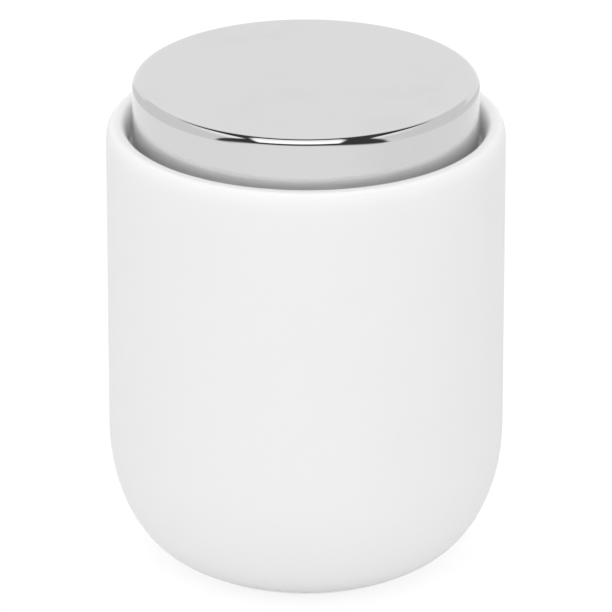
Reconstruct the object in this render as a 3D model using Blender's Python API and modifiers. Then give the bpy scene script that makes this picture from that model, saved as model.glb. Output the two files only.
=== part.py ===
"""Lidded canister: a thick-walled pot with a rounded foot, and a polished cap that drops into its mouth.

Metres, +Z up. The origin is the middle of the face that the canister stands on.
Every piece is a turned shape about the Z axis, so each is one profile and a Screw modifier.
"""

import math

import bpy

# Facets round the axis, and facets of each rounded stretch of a profile.
TURN_STEPS = 64
CURVE_STEPS = 12
RIM_STEPS = 6
CORNER_STEPS = 4

# Points this near the axis become one, and edges bent by more than this angle are shaded sharp.
MERGE_DISTANCE = 0.00001
SHARP_DEGREES = 35

# Gap left between two pieces that rest on each other.
SEAT_GAP = 0.0003

# The canister body, measured from the flat face of its foot.
BODY_RADIUS = 0.0475
BODY_HEIGHT = 0.1094
BODY_WALL = 0.0080
BODY_FLOOR = 0.0080
FOOT_CURVE_WIDTH = 0.0202
FOOT_CURVE_HEIGHT = 0.0323
RIM_OUTER_WIDTH = 0.0018
RIM_OUTER_HEIGHT = 0.0040
RIM_INNER_WIDTH = 0.0018
RIM_INNER_HEIGHT = 0.0050
LEDGE_WIDTH = 0.0029
LEDGE_DEPTH = 0.0070
LEDGE_ROUND = 0.0004

# The non-slip pad in the foot.
PAD_MARGIN = 0.0033
PAD_THICKNESS = 0.0015
PAD_PROUD = 0.0005
PAD_ROUND = 0.0003

# The polished cap: a pressed shell with a skirt.
CAP_SIDE_GAP = 0.0012
CAP_RISE = 0.0109
CAP_SHEET = 0.0008
CAP_EDGE_ROUND = 0.0020

# The moulded liner that closes the cap from below and plugs the throat.
PLUG_SIDE_GAP = 0.0005
PLUG_DEPTH = 0.0045
PLUG_ROUND = 0.0010
LINER_WALL = 0.0016
LINER_FLOOR = 0.0020

# The soft ring that the cap lands on, held in a groove of the liner.
SEAL_THICKNESS = 0.0015
SEAL_GROOVE_DEPTH = 0.0006
SEAL_ROUND = 0.0004

# Sizes worked out from those above.
THROAT_RADIUS = BODY_RADIUS - BODY_WALL
MOUTH_RADIUS = THROAT_RADIUS + LEDGE_WIDTH
FOOT_RADIUS = BODY_RADIUS - FOOT_CURVE_WIDTH
PAD_RADIUS = FOOT_RADIUS - PAD_MARGIN
CAP_RADIUS = MOUTH_RADIUS - CAP_SIDE_GAP
PLUG_RADIUS = THROAT_RADIUS - PLUG_SIDE_GAP
GROOVE_RADIUS = PLUG_RADIUS - SEAL_GROOVE_DEPTH

# Heights above the surface that the canister stands on.
FOOT_Z = PAD_PROUD
RIM_Z = FOOT_Z + BODY_HEIGHT
LEDGE_Z = RIM_Z - LEDGE_DEPTH

# Heights of the lid's pieces above the ledge, which carries them.
SEAL_BOTTOM = SEAT_GAP
SEAL_TOP = SEAL_BOTTOM + SEAL_THICKNESS
SKIRT_BOTTOM = SEAL_TOP + SEAT_GAP
CAP_TOP = LEDGE_DEPTH + CAP_RISE

# Colours of the finishes.
SATIN_WHITE = (0.86, 0.86, 0.86, 1.0)
POLISHED_STEEL = (0.71, 0.71, 0.71, 1.0)
LINER_WHITE = (0.80, 0.80, 0.78, 1.0)
SEAL_GREY = (0.55, 0.56, 0.57, 1.0)
FOAM_GREY = (0.10, 0.10, 0.11, 1.0)


def clear_scene():
    for thing in list(bpy.data.objects):
        bpy.data.objects.remove(thing, do_unlink=True)


def collection(name):
    made = bpy.data.collections.new(name)
    bpy.context.scene.collection.children.link(made)
    return made


def finish(name, colour, roughness, metallic=0.0):
    material = bpy.data.materials.new(name)
    material.use_nodes = True
    shader = material.node_tree.nodes["Principled BSDF"]
    shader.inputs["Base Color"].default_value = colour
    shader.inputs["Roughness"].default_value = roughness
    shader.inputs["Metallic"].default_value = metallic
    material.diffuse_color = colour
    return material


def arc(centre, width, height, start, end, steps):
    """Points on an ellipse round centre, from the angle start to the angle end in degrees."""
    points = []
    for step in range(steps + 1):
        angle = math.radians(start + (end - start) * step / steps)
        points.append((centre[0] + width * math.cos(angle), centre[1] + height * math.sin(angle)))
    return points


def turned(name, profile, material, home, carrier, closed=False):
    """Turns a profile of (radius, height) points about Z. It runs down the piece's outer side."""
    outline = bpy.data.meshes.new(name)
    edges = [(index, index + 1) for index in range(len(profile) - 1)]
    if closed:
        edges.append((len(profile) - 1, 0))
    outline.from_pydata([(radius, 0, height) for radius, height in profile], edges, [])
    piece = bpy.data.objects.new(name, outline)
    home.objects.link(piece)
    screw = piece.modifiers.new("turn", "SCREW")
    screw.axis = "Z"
    screw.angle = math.tau
    screw.steps = TURN_STEPS
    screw.render_steps = TURN_STEPS
    screw.use_merge_vertices = True
    screw.merge_threshold = MERGE_DISTANCE
    bpy.context.view_layer.update()
    solid = bpy.data.meshes.new_from_object(piece.evaluated_get(bpy.context.evaluated_depsgraph_get()))
    solid.name = name
    solid.shade_smooth()
    solid.set_sharp_from_angle(angle=math.radians(SHARP_DEGREES))
    piece.modifiers.clear()
    piece.data = solid
    bpy.data.meshes.remove(outline)
    solid.materials.clear()
    solid.materials.append(material)
    piece.parent = carrier
    return piece


def axis_empty(name, height, home, carrier=None):
    """An empty on the canister's axis. Pieces hang from it, and what moves turns and lifts about it."""
    empty = bpy.data.objects.new(name, None)
    empty.location = (0, 0, height)
    empty.parent = carrier
    home.objects.link(empty)
    return empty


def canister_body(home, carrier):
    """The pot. Its wall thins at the mouth, which leaves the ledge that carries the lid."""
    curve_centre = (FOOT_RADIUS, FOOT_CURVE_HEIGHT)
    ledge = BODY_HEIGHT - LEDGE_DEPTH
    recess_radius = PAD_RADIUS + SEAT_GAP
    recess_depth = PAD_THICKNESS - PAD_PROUD + SEAT_GAP
    inner_width = THROAT_RADIUS - FOOT_RADIUS
    inner_height = FOOT_CURVE_HEIGHT - BODY_FLOOR
    profile = [(0, BODY_FLOOR)]
    profile += arc(curve_centre, inner_width, inner_height, -90, 0, CURVE_STEPS)
    profile += arc(
        (THROAT_RADIUS + LEDGE_ROUND, ledge - LEDGE_ROUND), LEDGE_ROUND, LEDGE_ROUND, 180, 90, CORNER_STEPS
    )
    profile.append((MOUTH_RADIUS, ledge))
    profile += arc(
        (MOUTH_RADIUS + RIM_INNER_WIDTH, BODY_HEIGHT - RIM_INNER_HEIGHT),
        RIM_INNER_WIDTH,
        RIM_INNER_HEIGHT,
        180,
        90,
        RIM_STEPS,
    )
    profile += arc(
        (BODY_RADIUS - RIM_OUTER_WIDTH, BODY_HEIGHT - RIM_OUTER_HEIGHT),
        RIM_OUTER_WIDTH,
        RIM_OUTER_HEIGHT,
        90,
        0,
        RIM_STEPS,
    )
    profile += arc(curve_centre, FOOT_CURVE_WIDTH, FOOT_CURVE_HEIGHT, 0, -90, CURVE_STEPS)
    profile += [(recess_radius, 0), (recess_radius, recess_depth), (0, recess_depth)]
    return turned("canister_body", profile, finish("satin_white", SATIN_WHITE, 0.5), home, carrier)


def base_pad(home, carrier):
    """A soft disc in the foot's recess. It stands a little proud, and the canister rests on it."""
    profile = [(0, PAD_THICKNESS), (PAD_RADIUS, PAD_THICKNESS)]
    profile += arc((PAD_RADIUS - PAD_ROUND, PAD_ROUND), PAD_ROUND, PAD_ROUND, 0, -90, CORNER_STEPS)
    profile.append((0, 0))
    return turned("base_pad", profile, finish("foot_foam", FOAM_GREY, 0.9), home, carrier)


def lid_cap(home, carrier):
    """A shell of even sheet: flat top, rounded edge, straight skirt, and a rounded lower edge."""
    edge_centre = (CAP_RADIUS - CAP_EDGE_ROUND, CAP_TOP - CAP_EDGE_ROUND)
    inner_round = CAP_EDGE_ROUND - CAP_SHEET
    half_sheet = CAP_SHEET / 2
    profile = [(0, CAP_TOP)]
    profile += arc(edge_centre, CAP_EDGE_ROUND, CAP_EDGE_ROUND, 90, 0, RIM_STEPS)
    profile += arc(
        (CAP_RADIUS - half_sheet, SKIRT_BOTTOM + half_sheet), half_sheet, half_sheet, 0, -180, CORNER_STEPS
    )
    profile += arc(edge_centre, inner_round, inner_round, 0, 90, RIM_STEPS)
    profile.append((0, CAP_TOP - CAP_SHEET))
    return turned("lid_cap", profile, finish("polished_steel", POLISHED_STEEL, 0.08, 1.0), home, carrier)


def lid_liner(home, carrier):
    """A tray, open towards the cap. Its wall fills the cap's skirt, and its foot plugs the throat."""
    outer_radius = CAP_RADIUS - CAP_SHEET - SEAT_GAP
    corner_round = CAP_EDGE_ROUND - CAP_SHEET - SEAT_GAP
    corner_centre = (CAP_RADIUS - CAP_EDGE_ROUND, CAP_TOP - CAP_EDGE_ROUND)
    inner_radius = GROOVE_RADIUS - LINER_WALL
    groove_bottom = SEAL_BOTTOM - SEAT_GAP
    groove_top = SEAL_TOP + SEAT_GAP
    tray_floor = LINER_FLOOR - PLUG_DEPTH
    profile = [(0, tray_floor), (inner_radius, tray_floor), (inner_radius, corner_centre[1] + corner_round)]
    profile += arc(corner_centre, outer_radius - corner_centre[0], corner_round, 90, 0, CORNER_STEPS)
    profile += [(outer_radius, groove_top), (GROOVE_RADIUS, groove_top)]
    profile += [(GROOVE_RADIUS, groove_bottom), (PLUG_RADIUS, groove_bottom)]
    profile += arc(
        (PLUG_RADIUS - PLUG_ROUND, PLUG_ROUND - PLUG_DEPTH), PLUG_ROUND, PLUG_ROUND, 0, -90, CORNER_STEPS
    )
    profile.append((0, -PLUG_DEPTH))
    return turned("lid_liner", profile, finish("liner_white", LINER_WHITE, 0.45), home, carrier)


def lid_seal(home, carrier):
    """A soft flat ring in the liner's groove, between the cap's skirt and the ledge."""
    inner_radius = GROOVE_RADIUS + SEAT_GAP
    flat_radius = CAP_RADIUS - SEAL_ROUND
    profile = [(inner_radius, SEAL_TOP)]
    profile += arc((flat_radius, SEAL_TOP - SEAL_ROUND), SEAL_ROUND, SEAL_ROUND, 90, 0, CORNER_STEPS)
    profile += arc((flat_radius, SEAL_BOTTOM + SEAL_ROUND), SEAL_ROUND, SEAL_ROUND, 0, -90, CORNER_STEPS)
    profile.append((inner_radius, SEAL_BOTTOM))
    return turned("lid_seal", profile, finish("seal_grey", SEAL_GREY, 0.6), home, carrier, closed=True)


def build():
    clear_scene()
    home = collection("lidded_canister")
    foot = axis_empty("foot", FOOT_Z, home)
    lid_lift = axis_empty("lid_lift", LEDGE_Z, home)
    lid_turn = axis_empty("lid_turn", 0, home, lid_lift)
    canister_body(home, foot)
    base_pad(home, None)
    lid_seal(home, lid_lift)
    lid_liner(home, lid_turn)
    lid_cap(home, lid_turn)


build()
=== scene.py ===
"""Looks of the lidded canister: fine turned pieces with their finishes, on a white studio floor.

Metres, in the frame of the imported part. The photograph's camera stands on the -Y side, which is called
the front.
"""

import math

import bpy
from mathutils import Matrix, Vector


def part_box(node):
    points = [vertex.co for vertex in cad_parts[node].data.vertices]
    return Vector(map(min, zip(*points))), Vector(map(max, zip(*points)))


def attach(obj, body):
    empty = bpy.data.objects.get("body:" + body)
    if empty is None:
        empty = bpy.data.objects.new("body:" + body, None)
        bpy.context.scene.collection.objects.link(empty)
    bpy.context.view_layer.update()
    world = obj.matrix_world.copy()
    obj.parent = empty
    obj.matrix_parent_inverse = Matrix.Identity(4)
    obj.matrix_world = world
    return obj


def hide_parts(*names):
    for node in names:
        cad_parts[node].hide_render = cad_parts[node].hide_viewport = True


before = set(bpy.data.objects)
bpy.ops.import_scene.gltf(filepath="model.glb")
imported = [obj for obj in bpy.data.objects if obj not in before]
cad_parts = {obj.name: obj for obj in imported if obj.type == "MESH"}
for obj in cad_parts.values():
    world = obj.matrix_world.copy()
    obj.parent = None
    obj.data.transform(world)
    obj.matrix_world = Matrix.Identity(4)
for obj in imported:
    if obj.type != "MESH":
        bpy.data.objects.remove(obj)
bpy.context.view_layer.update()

# Facets round the axis, and along each rounded stretch of a profile.
TURN_STEPS = 256
CURVE_STEPS = 40
ROUND_STEPS = 24
CORNER_STEPS = 8
MERGE_DISTANCE = 0.000005
SHARP_DEGREES = 40
# A ring this far inside the end of a flat stretch keeps its shading flat beside a rounded edge.
FLAT_MARGIN = 0.0003

# The canister body: from the frame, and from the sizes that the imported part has.
BODY_LOW, BODY_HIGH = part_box("canister_body")
BODY_RADIUS = BODY_HIGH[0]
FOOT_Z = BODY_LOW[2]
RIM_Z = BODY_HIGH[2]
BODY_WALL = 0.0080
BODY_FLOOR = 0.0080
FOOT_CURVE_WIDTH = 0.0202
FOOT_CURVE_HEIGHT = 0.0323
FOOT_EDGE_ROUND = 0.0003
FOOT_RADIUS = BODY_RADIUS - FOOT_CURVE_WIDTH
RIM_OUTER_WIDTH = 0.0018
RIM_OUTER_HEIGHT = 0.0040
RIM_INNER_WIDTH = 0.0018
RIM_INNER_HEIGHT = 0.0050
LEDGE_WIDTH = 0.0029
LEDGE_DEPTH = 0.0070
LEDGE_ROUND = 0.0004
LEDGE_Z = RIM_Z - LEDGE_DEPTH
THROAT_RADIUS = BODY_RADIUS - BODY_WALL
MOUTH_RADIUS = THROAT_RADIUS + LEDGE_WIDTH
# The room round a piece that lies in a recess or in a groove.
SEAT_GAP = 0.0003

# The foot pad.
PAD_LOW, PAD_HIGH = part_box("base_pad")
PAD_RADIUS = PAD_HIGH[0]
PAD_ROUND = 0.0003

# The polished cap.
CAP_LOW, CAP_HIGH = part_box("lid_cap")
CAP_RADIUS = CAP_HIGH[0]
CAP_SHEET = 0.0008
CAP_EDGE_ROUND = 0.0020
CAP_FLAT_RADIUS = CAP_RADIUS - CAP_EDGE_ROUND
CAP_EDGE_CENTRE = (CAP_FLAT_RADIUS, CAP_HIGH[2] - CAP_EDGE_ROUND)

# The liner and the soft ring.
LINER_LOW, LINER_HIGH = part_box("lid_liner")
LINER_RADIUS = LINER_HIGH[0]
LINER_WALL = 0.0016
LINER_FLOOR = 0.0020
PLUG_SIDE_GAP = 0.0005
PLUG_RADIUS = THROAT_RADIUS - PLUG_SIDE_GAP
PLUG_ROUND = 0.0010
SEAL_GROOVE_DEPTH = 0.0006
GROOVE_RADIUS = PLUG_RADIUS - SEAL_GROOVE_DEPTH
SEAL_LOW, SEAL_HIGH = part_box("lid_seal")
SEAL_RADIUS = SEAL_HIGH[0]
SEAL_ROUND = 0.0004
# Marks of the mould under the liner: a shallow ring, and the dimple at the gate with its stub.
MARK_DEPTH = 0.0004
RING_MARK_RADIUS = 0.0280
RING_MARK_WIDTH = 0.0012
GATE_RADIUS = 0.0030
GATE_STUB_RADIUS = 0.0009
GATE_STUB_HEIGHT = 0.0002

# The glaze, and the bare ring under the foot, which ends between two heights over the foot's face.
# Here and below, LEVELS are the values of a noise at which a mark starts and is full.
GLAZE_TONES = (0.845, 0.865)
GLAZE_ROUGHNESS = (0.40, 0.48)
GLAZE_LIGHT_DEPTH = 0.004
SPECK_COLOUR = (0.62, 0.60, 0.57, 1.0)
SPECK_SHARE = 0.06
SPECK_LEVELS = (0.70, 0.78)
BARE_COLOUR = (0.72, 0.69, 0.64, 1.0)
BARE_ROUGHNESS = 0.85
BARE_HEIGHT = 0.0002
GLAZED_HEIGHT = 0.0008

# The polished steel. In the first three pairs, clean metal comes before smudged metal.
STEEL_TONES = (0.715, 0.70)
STEEL_ROUGHNESS = (0.035, 0.075)
STEEL_TOP_ROUGHNESS = (0.17, 0.21)
SMUDGE_LEVELS = (0.50, 0.72)
# The roughness changes from the edge's to the flat top's over this width.
STEEL_TOP_BLEND = 0.0012

# The liner's plastic, the ring's silicone and the pad's foam.
LINER_TONES = ((0.79, 0.79, 0.77, 1.0), (0.82, 0.82, 0.80, 1.0))
LINER_ROUGHNESS = (0.38, 0.50)
SEAL_TONES = ((0.52, 0.53, 0.54, 1.0), (0.60, 0.61, 0.62, 1.0))
SEAL_ROUGHNESS = (0.45, 0.62)
SEAL_LIGHT_SHARE = 0.15
SEAL_LIGHT_DEPTH = 0.002
FOAM_TONES = ((0.09, 0.09, 0.10, 1.0), (0.15, 0.15, 0.155, 1.0))
FOAM_DUST = (0.1, 0.9)
FOAM_ROUGHNESS = (0.80, 0.95)

# The camera, as fitted to the photograph.
CAMERA_ELEVATION = 22.92
CAMERA_DISTANCE = 1.6336
CAMERA_AIM_HEIGHT = 0.0617
CAMERA_TARGET_Z = FOOT_Z + CAMERA_AIM_HEIGHT
CAMERA_LENS = 400.4
CAMERA_SENSOR = 36.0
CAMERA_REACH = 100.0

# The studio: a floor, and a sky with a softbox.
FLOOR_SIZE = 12.0
# The pad's face and the floor would flicker if they lay in one plane.
FLOOR_GAP = 0.0001
FLOOR_COLOUR = 0.89
# To the camera the floor glows and takes a little light, so that it is white but for the shadow.
FLOOR_SHADE = 0.18
FLOOR_GLOW = 0.86
# Painted contact shadow: the floor glows less where the foot is nearer than this.
PAINTED_SHADOW_GLOW = 0.15
PAINTED_SHADOW_REACH = 0.0009
# Brightness of the sky at its side, and what is added straight overhead and in the softbox.
SKY_SIDE = 0.54
SKY_TOP = 0.47
SKY_BOX = 1.00
WHITE = 1.0
# Bounces are counted in whole numbers, so fewer than this is none.
HALF_BOUNCE = 0.5

# Two soft square lamps.
LAMP_SIZE = 1.2
KEY_PLACE = (-0.12, -1.9, 0.75)
KEY_POWER = 6.15
REAR_PLACE = (0.15, 1.9, 0.35)
REAR_POWER = 3.3

# What polished metal mirrors, as brightness: 1 is white. SIDES are the planes through the lid that bound
# a panel, each given by the direction that it faces: to the right, to the front and up. TURN is where a
# change of brightness starts and ends, and SOFT is half the width of a blurred edge.
BACK_WALL = 0.957
BACK_WALL_SIDES = ((0.0, -1.0, -1.76), (1.0, -0.50, 0.37), (-1.0, -0.58, 0.88))
BACK_WALL_SOFT = 0.02
WALL_ASIDE = 0.79
WALL_AHEAD = 0.97
WALL_TURN = (0.33, 0.93)
ROOF = 1.5
ROOF_TURN = (0.705, 1.073)
FLOOR_LEFT = 0.935
FLOOR_CENTRE = 0.952
FLOOR_RIGHT = 0.895
FLOOR_TURN = (0.3, 0.95)
HORIZON = -0.30
HORIZON_SOFT = 0.05
CARD = 0.948
CARD_SIDES = ((1.0, 1.16, -0.80), (-1.0, 0.79, -0.86), (0.0, 0.59, -1.0))
CARD_SOFT = 0.15
SOFTBOX_BACK = 1.2
SOFTBOX_FRONT = 1.45
SOFTBOX_SIDES = ((1.0, 0.33, 0.33), (-1.0, 0.22, 0.22), (0.0, 1.0, 0.43), (0.0, -1.0, 0.74))
SOFTBOX_SOFT = 0.025
SOFTBOX_TURN = (-0.02, 0.15)

# The dark opening round the camera. A pair is for the left and the right side. BACK is a plane as above.
OPENING = 0.05
OPENING_WAIST = (0.41, 0.468)
OPENING_SPREAD = (1.65, 1.32)
OPENING_SOFT = 0.09
OPENING_LOW = (-0.196, -0.273)
OPENING_LOW_SOFT = 0.01
OPENING_BACK = (-0.177, 1.0, 1.05)
OPENING_BACK_SOFT = 0.02
# The opening's half width is divided by, so its square never goes below this.
SMALLEST_SQUARE = 0.00000001

# A mirrored ray that meets the floor is taken to start here, a little inside the lid's edge.
MIRROR_SHARE = 0.9
MIRROR_RADIUS = MIRROR_SHARE * CAP_RADIUS
MIRROR_HEIGHT = CAP_EDGE_CENTRE[1]


def arc(centre, width, height, start, end, steps):
    """Points on an ellipse round centre, from the angle start to the angle end in degrees."""
    points = []
    for step in range(steps + 1):
        angle = math.radians(start + (end - start) * step / steps)
        points.append((centre[0] + width * math.cos(angle), centre[1] + height * math.sin(angle)))
    return points


def turned(name, profile, closed=False):
    """Turns a profile of (radius, height) points about Z. It runs down the piece's outer side."""
    outline = bpy.data.meshes.new(name + "_outline")
    edges = [(index, index + 1) for index in range(len(profile) - 1)]
    if closed:
        edges.append((len(profile) - 1, 0))
    outline.from_pydata([(radius, 0, height) for radius, height in profile], edges, [])
    piece = bpy.data.objects.new(name, outline)
    bpy.context.scene.collection.objects.link(piece)
    screw = piece.modifiers.new("turn", "SCREW")
    screw.angle = math.tau
    screw.steps = TURN_STEPS
    screw.render_steps = TURN_STEPS
    screw.use_merge_vertices = True
    screw.merge_threshold = MERGE_DISTANCE
    bpy.context.view_layer.update()
    solid = bpy.data.meshes.new_from_object(piece.evaluated_get(bpy.context.evaluated_depsgraph_get()))
    solid.name = name
    solid.shade_smooth()
    solid.set_sharp_from_angle(angle=math.radians(SHARP_DEGREES))
    piece.modifiers.clear()
    piece.data = solid
    bpy.data.meshes.remove(outline)
    return piece


def body_profile():
    """Inside from the floor up, over the rim, and down the outside to the recess in the foot."""
    curve_centre = (FOOT_RADIUS, FOOT_Z + FOOT_CURVE_HEIGHT)
    inner_width = THROAT_RADIUS - FOOT_RADIUS
    inner_height = FOOT_CURVE_HEIGHT - BODY_FLOOR
    throat_edge = (THROAT_RADIUS + LEDGE_ROUND, LEDGE_Z - LEDGE_ROUND)
    ledge_corner = (MOUTH_RADIUS - LEDGE_ROUND, LEDGE_Z + LEDGE_ROUND)
    rim_inner = (MOUTH_RADIUS + RIM_INNER_WIDTH, RIM_Z - RIM_INNER_HEIGHT)
    rim_outer = (BODY_RADIUS - RIM_OUTER_WIDTH, RIM_Z - RIM_OUTER_HEIGHT)
    recess_radius = PAD_RADIUS + SEAT_GAP
    recess_z = PAD_HIGH[2] + SEAT_GAP
    recess_edge = (recess_radius + FOOT_EDGE_ROUND, FOOT_Z + FOOT_EDGE_ROUND)
    profile = [(0, FOOT_Z + BODY_FLOOR)]
    profile += arc(curve_centre, inner_width, inner_height, -90, 0, CURVE_STEPS)
    profile += arc(throat_edge, LEDGE_ROUND, LEDGE_ROUND, 180, 90, CORNER_STEPS)
    profile += arc(ledge_corner, LEDGE_ROUND, LEDGE_ROUND, -90, 0, CORNER_STEPS)
    profile += arc(rim_inner, RIM_INNER_WIDTH, RIM_INNER_HEIGHT, 180, 90, ROUND_STEPS)
    profile += arc(rim_outer, RIM_OUTER_WIDTH, RIM_OUTER_HEIGHT, 90, 0, ROUND_STEPS)
    profile.append((BODY_RADIUS, rim_outer[1] - FLAT_MARGIN))
    profile += arc(curve_centre, FOOT_CURVE_WIDTH, FOOT_CURVE_HEIGHT, 0, -90, CURVE_STEPS)
    profile += arc(recess_edge, FOOT_EDGE_ROUND, FOOT_EDGE_ROUND, 270, 180, CORNER_STEPS)
    profile += [(recess_radius, recess_z), (0, recess_z)]
    return profile


def pad_profile():
    """A thin disc with rounded edges."""
    low, high = PAD_LOW[2], PAD_HIGH[2]
    flat_radius = PAD_RADIUS - PAD_ROUND
    profile = [(0, high)]
    profile += arc((flat_radius, high - PAD_ROUND), PAD_ROUND, PAD_ROUND, 90, 0, CORNER_STEPS)
    profile += arc((flat_radius, low + PAD_ROUND), PAD_ROUND, PAD_ROUND, 0, -90, CORNER_STEPS)
    profile.append((0, low))
    return profile


def cap_profile():
    """Flat top, rounded edge, straight skirt with a rounded hem, and the same sheet again inside."""
    inner_round = CAP_EDGE_ROUND - CAP_SHEET
    half_sheet = CAP_SHEET / 2
    hem_centre = (CAP_RADIUS - half_sheet, CAP_LOW[2] + half_sheet)
    profile = [(0, CAP_HIGH[2]), (CAP_FLAT_RADIUS - FLAT_MARGIN, CAP_HIGH[2])]
    profile += arc(CAP_EDGE_CENTRE, CAP_EDGE_ROUND, CAP_EDGE_ROUND, 90, 0, ROUND_STEPS)
    profile += [(CAP_RADIUS, CAP_EDGE_CENTRE[1] - FLAT_MARGIN), (CAP_RADIUS, hem_centre[1] + FLAT_MARGIN)]
    profile += arc(hem_centre, half_sheet, half_sheet, 0, -180, 2 * CORNER_STEPS)
    profile += arc(CAP_EDGE_CENTRE, inner_round, inner_round, 0, 90, CORNER_STEPS)
    profile.append((0, CAP_HIGH[2] - CAP_SHEET))
    return profile


def liner_profile():
    """A tray, open towards the cap, with a groove for the soft ring and a plug below it."""
    bottom = LINER_LOW[2]
    tray_floor = bottom + LINER_FLOOR
    corner_round = LINER_RADIUS - CAP_FLAT_RADIUS
    inner_radius = GROOVE_RADIUS - LINER_WALL
    groove_low, groove_high = SEAL_LOW[2] - SEAT_GAP, SEAL_HIGH[2] + SEAT_GAP
    plug_flat = PLUG_RADIUS - PLUG_ROUND
    profile = [(0, tray_floor), (inner_radius, tray_floor), (inner_radius, LINER_HIGH[2])]
    profile += arc(CAP_EDGE_CENTRE, corner_round, corner_round, 90, 0, CORNER_STEPS)
    profile += [(LINER_RADIUS, groove_high), (GROOVE_RADIUS, groove_high)]
    profile += [(GROOVE_RADIUS, groove_low), (PLUG_RADIUS, groove_low)]
    profile += arc((plug_flat, bottom + PLUG_ROUND), PLUG_ROUND, PLUG_ROUND, 0, -90, CORNER_STEPS)
    profile.append((plug_flat - FLAT_MARGIN, bottom))
    profile += arc((RING_MARK_RADIUS, bottom), RING_MARK_WIDTH, MARK_DEPTH, 0, 180, 2 * CORNER_STEPS)
    profile += arc((GATE_RADIUS, bottom), MARK_DEPTH, MARK_DEPTH, 0, 90, CORNER_STEPS)
    stub_z = bottom + MARK_DEPTH - GATE_STUB_HEIGHT
    profile += [(GATE_STUB_RADIUS, bottom + MARK_DEPTH), (GATE_STUB_RADIUS, stub_z), (0, stub_z)]
    return profile


def seal_profile():
    """A flat loop with rounded outer edges."""
    low, high = SEAL_LOW[2], SEAL_HIGH[2]
    inner_radius = GROOVE_RADIUS + SEAT_GAP
    flat_radius = SEAL_RADIUS - SEAL_ROUND
    profile = [(inner_radius, high)]
    profile += arc((flat_radius, high - SEAL_ROUND), SEAL_ROUND, SEAL_ROUND, 90, 0, CORNER_STEPS)
    profile += arc((flat_radius, low + SEAL_ROUND), SEAL_ROUND, SEAL_ROUND, 0, -90, CORNER_STEPS)
    profile.append((inner_radius, low))
    return profile


class Nodes:
    """A short way to write a node tree: each call adds a node, sets its inputs and returns an output."""

    def __init__(self, owner):
        owner.use_nodes = True
        self.tree = owner.node_tree
        self.tree.nodes.clear()

    def add(self, kind, output=0, numbered=(), named=None, **settings):
        """numbered gives the first inputs in order, named gives others by name, the rest are settings."""
        node = self.tree.nodes.new(kind)
        for key, value in settings.items():
            setattr(node, key, value)
        for key, value in [*enumerate(numbered), *(named or {}).items()]:
            if isinstance(value, bpy.types.NodeSocket):
                self.tree.links.new(value, node.inputs[key])
            else:
                node.inputs[key].default_value = value
        return node.outputs[output] if node.outputs else node

    def math(self, operation, *values):
        return self.add("ShaderNodeMath", numbered=values, operation=operation)

    def vector(self, operation, *values, output=0):
        return self.add("ShaderNodeVectorMath", numbered=values, output=output, operation=operation)

    def split(self, vector):
        """The three parts of a vector."""
        node = self.add("ShaderNodeSeparateXYZ", numbered=(vector,)).node
        return node.outputs[0], node.outputs[1], node.outputs[2]

    def level(self, vector):
        """The direction of a vector as seen from above."""
        return self.vector("NORMALIZE", self.vector("MULTIPLY", vector, (1.0, 1.0, 0.0)))

    def from_axis(self, x, y):
        """How far a point is from the Z axis."""
        squares = self.math("ADD", self.math("MULTIPLY", x, x), self.math("MULTIPLY", y, y))
        return self.math("SQRT", squares)

    def step(self, value, start, end, low=0.0, high=1.0):
        """Goes smoothly from low to high as value goes from start to end."""
        numbered = (value, start, end, low, high)
        return self.add("ShaderNodeMapRange", numbered=numbered, interpolation_type="SMOOTHSTEP")

    def mix(self, factor, low, high):
        """A number part of the way from low to high. Inputs 2 and 3 of the node hold numbers."""
        return self.add("ShaderNodeMix", numbered=(factor,), named={2: low, 3: high}, data_type="FLOAT")

    def tint(self, factor, low, high):
        """A colour part of the way from low to high. Inputs 6 and 7 and output 2 hold colours."""
        named = {6: low, 7: high}
        return self.add("ShaderNodeMix", output=2, numbered=(factor,), named=named, data_type="RGBA")

    def blend(self, factor, low, high):
        """A shader part of the way from low to high."""
        return self.add("ShaderNodeMixShader", numbered=(factor, low, high))

    def noise(self, place, scale, detail, roughness=0.5):
        named = {"Vector": place, "Scale": scale, "Detail": detail, "Roughness": roughness}
        return self.add("ShaderNodeTexNoise", named=named)

    def bands(self, along, scale, detail):
        """Noise that changes only along one number."""
        named = {"W": along, "Scale": scale, "Detail": detail}
        return self.add("ShaderNodeTexNoise", named=named, noise_dimensions="1D")

    def bump(self, height, strength, distance, normal=None):
        named = {"Height": height, "Strength": strength, "Distance": distance}
        if normal is not None:
            named["Normal"] = normal
        return self.add("ShaderNodeBump", named=named)

    def surface(self, shader):
        self.add("ShaderNodeOutputMaterial", named={"Surface": shader})

    def coat(self, colour, roughness, normal, others=None):
        """The surface of a finish. others gives more of the shader's inputs by name."""
        named = {"Base Color": colour, "Roughness": roughness, "Normal": normal, **(others or {})}
        self.surface(self.add("ShaderNodeBsdfPrincipled", named=named))


def grey(value):
    return (value, value, value, 1.0)


def new_material(name):
    """A material, its node tree, and the place on the piece that it colours."""
    material = bpy.data.materials.new(name)
    nodes = Nodes(material)
    return material, nodes, nodes.add("ShaderNodeTexCoord", output="Object")


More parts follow.
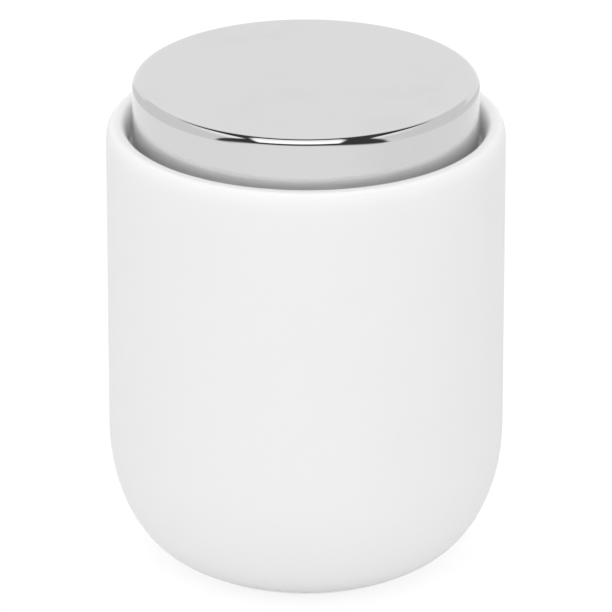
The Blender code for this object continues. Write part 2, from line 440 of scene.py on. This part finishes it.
def satin_glaze():
    """Satin white glaze: faint orange peel, a slow drift of tone, and a bare matt ring under the foot."""
    material, nodes, place = new_material("satin_white")
    drift = nodes.noise(place, scale=35.0, detail=2.0)
    peel = nodes.noise(place, scale=900.0, detail=3.0)
    grain = nodes.noise(place, scale=6000.0, detail=2.0)
    speck = nodes.step(nodes.noise(place, scale=1500.0, detail=1.0), *SPECK_LEVELS)
    bare = nodes.step(nodes.split(place)[2], FOOT_Z + GLAZED_HEIGHT, FOOT_Z + BARE_HEIGHT)
    glaze = nodes.tint(drift, grey(GLAZE_TONES[0]), grey(GLAZE_TONES[1]))
    specked = nodes.tint(nodes.math("MULTIPLY", speck, SPECK_SHARE), glaze, SPECK_COLOUR)
    colour = nodes.tint(bare, specked, BARE_COLOUR)
    roughness = nodes.mix(bare, nodes.mix(drift, *GLAZE_ROUGHNESS), BARE_ROUGHNESS)
    peeled = nodes.bump(peel, strength=0.12, distance=0.00012)
    normal = nodes.bump(grain, strength=0.10, distance=0.00002, normal=peeled)
    nodes.coat(colour, roughness, normal, {
        "Subsurface Weight": 1.0,
        "Subsurface Radius": (1.0, 1.0, 1.0),
        "Subsurface Scale": GLAZE_LIGHT_DEPTH,
    })
    return material


def polished_steel():
    """Mirror polish with fine turning marks and faint smudges, a little less smooth on the flat top."""
    material, nodes, place = new_material("polished_steel")
    x, y, z = nodes.split(place)
    radius = nodes.from_axis(x, y)
    marks = nodes.bands(nodes.math("ADD", radius, z), scale=9000.0, detail=3.0)
    smudge = nodes.step(nodes.noise(place, scale=45.0, detail=4.0, roughness=0.6), *SMUDGE_LEVELS)
    flat = nodes.step(radius, CAP_FLAT_RADIUS, CAP_FLAT_RADIUS - STEEL_TOP_BLEND)
    edge_roughness = nodes.mix(smudge, *STEEL_ROUGHNESS)
    top_roughness = nodes.mix(smudge, *STEEL_TOP_ROUGHNESS)
    roughness = nodes.mix(flat, edge_roughness, top_roughness)
    tone = nodes.tint(smudge, grey(STEEL_TONES[0]), grey(STEEL_TONES[1]))
    normal = nodes.bump(marks, strength=0.001, distance=0.000001)
    nodes.coat(tone, roughness, normal, {"Metallic": 1.0})
    return material


def moulded_white():
    """Moulded plastic: satin, with a fine spark-eroded grain and faint rings of flow about the axis."""
    material, nodes, place = new_material("liner_white")
    x, y, _ = nodes.split(place)
    grain = nodes.noise(place, scale=2500.0, detail=3.0, roughness=0.6)
    drift = nodes.noise(place, scale=40.0, detail=2.0)
    flow = nodes.bands(nodes.from_axis(x, y), scale=400.0, detail=2.0)
    colour = nodes.tint(drift, *LINER_TONES)
    roughness = nodes.mix(flow, *LINER_ROUGHNESS)
    normal = nodes.bump(grain, strength=0.15, distance=0.00004)
    nodes.coat(colour, roughness, normal)
    return material


def soft_silicone():
    """Silicone: milky, dusty, with a slight grain."""
    material, nodes, place = new_material("seal_grey")
    dust = nodes.noise(place, scale=300.0, detail=4.0, roughness=0.6)
    grain = nodes.noise(place, scale=3000.0, detail=2.0)
    colour = nodes.tint(dust, *SEAL_TONES)
    roughness = nodes.mix(dust, *SEAL_ROUGHNESS)
    normal = nodes.bump(grain, strength=0.15, distance=0.00003)
    nodes.coat(colour, roughness, normal, {
        "Subsurface Weight": SEAL_LIGHT_SHARE,
        "Subsurface Scale": SEAL_LIGHT_DEPTH,
    })
    return material


def cell_foam():
    """Closed-cell foam: small open cells cut through at the face, and dust in them."""
    material, nodes, place = new_material("foot_foam")
    cells = nodes.add("ShaderNodeTexVoronoi", named={"Vector": place, "Scale": 1600.0})
    dust = nodes.noise(place, scale=160.0, detail=4.0, roughness=0.6)
    colour = nodes.tint(nodes.mix(dust, *FOAM_DUST), *FOAM_TONES)
    roughness = nodes.mix(dust, *FOAM_ROUGHNESS)
    normal = nodes.bump(cells, strength=0.5, distance=0.00015)
    nodes.coat(colour, roughness, normal)
    return material


def dress(name, profile, material, body, node, closed=False):
    """One fine turned piece that stands for a node of the frame."""
    piece = turned(name, profile, closed)
    piece.data.materials.append(material)
    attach(piece, body)
    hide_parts(node)


def facing(nodes, ray, plane, soft):
    """1 where the ray points to the side that a plane through the lid faces, and 0 on the other side."""
    normal = Vector((plane[0], -plane[1], plane[2])).normalized()
    return nodes.step(nodes.vector("DOT_PRODUCT", ray, normal, output=1), -soft, soft)


def inside(nodes, ray, planes, soft):
    """1 inside the panel that these planes bound, and 0 outside it."""
    share = facing(nodes, ray, planes[0], soft)
    for plane in planes[1:]:
        share = nodes.math("MULTIPLY", share, facing(nodes, ray, plane, soft))
    return share


def tent_opening(nodes, ray, x, front, z):
    """The dark opening: a slot overhead that widens to both sides of the camera, down past the horizon."""
    is_right = nodes.math("GREATER_THAN", x, 0.0)
    waist = nodes.math("MULTIPLY", z, nodes.mix(is_right, *OPENING_WAIST))
    ahead = nodes.math("MAXIMUM", front, 0.0)
    spread = nodes.math("MULTIPLY", ahead, nodes.mix(is_right, *OPENING_SPREAD))
    half_square = nodes.math("MULTIPLY_ADD", waist, waist, nodes.math("MULTIPLY", spread, spread))
    half = nodes.math("SQRT", nodes.math("MAXIMUM", half_square, SMALLEST_SQUARE))
    reach = nodes.math("DIVIDE", nodes.math("ABSOLUTE", x), half)
    opening = nodes.step(reach, 1.0 + OPENING_SOFT, 1.0 - OPENING_SOFT)
    low = nodes.mix(is_right, *OPENING_LOW)
    above = nodes.step(nodes.math("SUBTRACT", z, low), -OPENING_LOW_SOFT, OPENING_LOW_SOFT)
    behind = facing(nodes, ray, OPENING_BACK, OPENING_BACK_SOFT)
    return nodes.math("MULTIPLY", opening, nodes.math("MULTIPLY", above, behind))


def mirrored_studio(nodes, ray):
    """What the polished lid mirrors: a white tent with a dark opening, a card in it and a softbox."""
    x, y, z = nodes.split(ray)
    front = nodes.math("MULTIPLY", y, -1.0)
    aside = nodes.split(nodes.level(ray))[0]
    floor = nodes.step(aside, -FLOOR_TURN[0], -FLOOR_TURN[1], FLOOR_CENTRE, FLOOR_LEFT)
    floor = nodes.mix(nodes.step(aside, *FLOOR_TURN), floor, FLOOR_RIGHT)
    wall = nodes.step(front, *WALL_TURN, WALL_ASIDE, WALL_AHEAD)
    tent = nodes.mix(nodes.step(z, *ROOF_TURN), wall, ROOF)
    tent = nodes.mix(inside(nodes, ray, BACK_WALL_SIDES, BACK_WALL_SOFT), tent, BACK_WALL)
    over = nodes.step(z, HORIZON - HORIZON_SOFT, HORIZON + HORIZON_SOFT)
    tent = nodes.mix(over, floor, tent)
    opening = tent_opening(nodes, ray, x, front, z)
    tent = nodes.mix(opening, tent, OPENING)
    card = nodes.math("MULTIPLY", opening, inside(nodes, ray, CARD_SIDES, CARD_SOFT))
    tent = nodes.mix(card, tent, nodes.mix(over, floor, CARD))
    softbox = nodes.step(front, *SOFTBOX_TURN, SOFTBOX_BACK, SOFTBOX_FRONT)
    return nodes.mix(inside(nodes, ray, SOFTBOX_SIDES, SOFTBOX_SOFT), tent, softbox)


def studio_world():
    """White to the camera, a sky and a softbox that light the canister, and the studio in mirrors."""
    world = bpy.data.worlds.new("studio")
    bpy.context.scene.world = world
    nodes = Nodes(world)
    ray = nodes.add("ShaderNodeTexCoord", output="Generated")
    up = nodes.math("MAXIMUM", nodes.split(ray)[2], 0.0)
    path = nodes.add("ShaderNodeLightPath").node
    sky = nodes.math("MULTIPLY_ADD", up, SKY_TOP, SKY_SIDE)
    sky = nodes.math("MULTIPLY_ADD", inside(nodes, ray, SOFTBOX_SIDES, SOFTBOX_SOFT), SKY_BOX, sky)
    strength = nodes.mix(path.outputs["Is Camera Ray"], sky, WHITE)
    unscattered = nodes.math("LESS_THAN", path.outputs["Diffuse Depth"], HALF_BOUNCE)
    mirror = nodes.math("MULTIPLY", path.outputs["Is Glossy Ray"], unscattered)
    strength = nodes.mix(mirror, strength, mirrored_studio(nodes, ray))
    strength = nodes.mix(path.outputs["Is Transmission Ray"], strength, WHITE)
    background = nodes.add("ShaderNodeBackground", named={"Color": grey(WHITE), "Strength": strength})
    nodes.add("ShaderNodeOutputWorld", named={"Surface": background})


def floor_seen(nodes):
    """The floor to the camera: nearly white by itself, with a painted contact shadow that dims its glow in
    the narrow gap under the foot.
    """
    # Painted contact shadow: ambient occlusion next to the foot lowers the floor's glow.
    gap = nodes.add("ShaderNodeAmbientOcclusion", output="AO", named={"Distance": PAINTED_SHADOW_REACH})
    glow = nodes.mix(gap, PAINTED_SHADOW_GLOW, FLOOR_GLOW)
    glowing = nodes.add("ShaderNodeEmission", named={"Strength": glow})
    shaded = nodes.add("ShaderNodeBsdfDiffuse", named={"Color": grey(FLOOR_SHADE)})
    return nodes.add("ShaderNodeAddShader", numbered=(shaded, glowing))


def floor_mirrored(nodes, place):
    """The floor in polished metal, which is a part of the mirrored studio."""
    edge = (MIRROR_RADIUS, MIRROR_RADIUS, MIRROR_RADIUS)
    start = nodes.vector("MULTIPLY_ADD", nodes.level(place), edge, (0.0, 0.0, MIRROR_HEIGHT))
    ray = nodes.vector("NORMALIZE", nodes.vector("SUBTRACT", place, start))
    return nodes.add("ShaderNodeEmission", named={"Strength": mirrored_studio(nodes, ray)})


def white_floor():
    """A plain pale floor: white to the camera but for the canister's shadow, which is partly lit and
    partly painted, and pale in mirrors.
    """
    bpy.ops.mesh.primitive_plane_add(size=FLOOR_SIZE, location=(0, 0, PAD_LOW[2] - FLOOR_GAP))
    floor = bpy.context.object
    floor.name = "studio_floor"
    material, nodes, place = new_material("studio_floor")
    path = nodes.add("ShaderNodeLightPath").node
    paper = nodes.add("ShaderNodeBsdfDiffuse", named={"Color": grey(FLOOR_COLOUR)})
    shader = nodes.blend(path.outputs["Is Camera Ray"], paper, floor_seen(nodes))
    shader = nodes.blend(path.outputs["Is Glossy Ray"], shader, floor_mirrored(nodes, place))
    nodes.surface(shader)
    material.cycles.emission_sampling = "NONE"
    floor.data.materials.append(material)


def aim(thing, target):
    """Turns a lamp or a camera towards a place."""
    direction = Vector(target) - thing.location
    thing.rotation_euler = direction.to_track_quat("-Z", "Y").to_euler()


def lamp(name, place, power):
    """A soft square lamp aimed at the canister. The lid doesn't mirror it: the world does that part."""
    light = bpy.data.lights.new(name, "AREA")
    light.shape = "SQUARE"
    light.size = LAMP_SIZE
    light.energy = power
    thing = bpy.data.objects.new(name, light)
    thing.location = place
    aim(thing, (0, 0, RIM_Z / 2))
    thing.visible_glossy = False
    bpy.context.scene.collection.objects.link(thing)


def photo_camera():
    """The photograph's own view."""
    data = bpy.data.cameras.new("photo_camera")
    data.lens = CAMERA_LENS
    data.sensor_width = CAMERA_SENSOR
    data.clip_end = CAMERA_REACH
    camera = bpy.data.objects.new("photo_camera", data)
    tilt = math.radians(CAMERA_ELEVATION)
    rise = CAMERA_DISTANCE * math.sin(tilt)
    camera.location = (0, -CAMERA_DISTANCE * math.cos(tilt), CAMERA_TARGET_Z + rise)
    aim(camera, (0, 0, CAMERA_TARGET_Z))
    bpy.context.scene.collection.objects.link(camera)
    bpy.context.scene.camera = camera


photo_camera()
studio_world()
white_floor()
lamp("key", KEY_PLACE, KEY_POWER)
lamp("rear", REAR_PLACE, REAR_POWER)

dress("body_shell", body_profile(), satin_glaze(), "canister", "canister_body")
dress("foot_pad", pad_profile(), cell_foam(), "canister", "base_pad")
dress("cap_shell", cap_profile(), polished_steel(), "lid", "lid_cap")
dress("liner_tray", liner_profile(), moulded_white(), "lid", "lid_liner")
dress("seal_loop", seal_profile(), soft_silicone(), "seal_ring", "lid_seal", closed=True)

bpy.context.scene.view_settings.view_transform = "Standard"
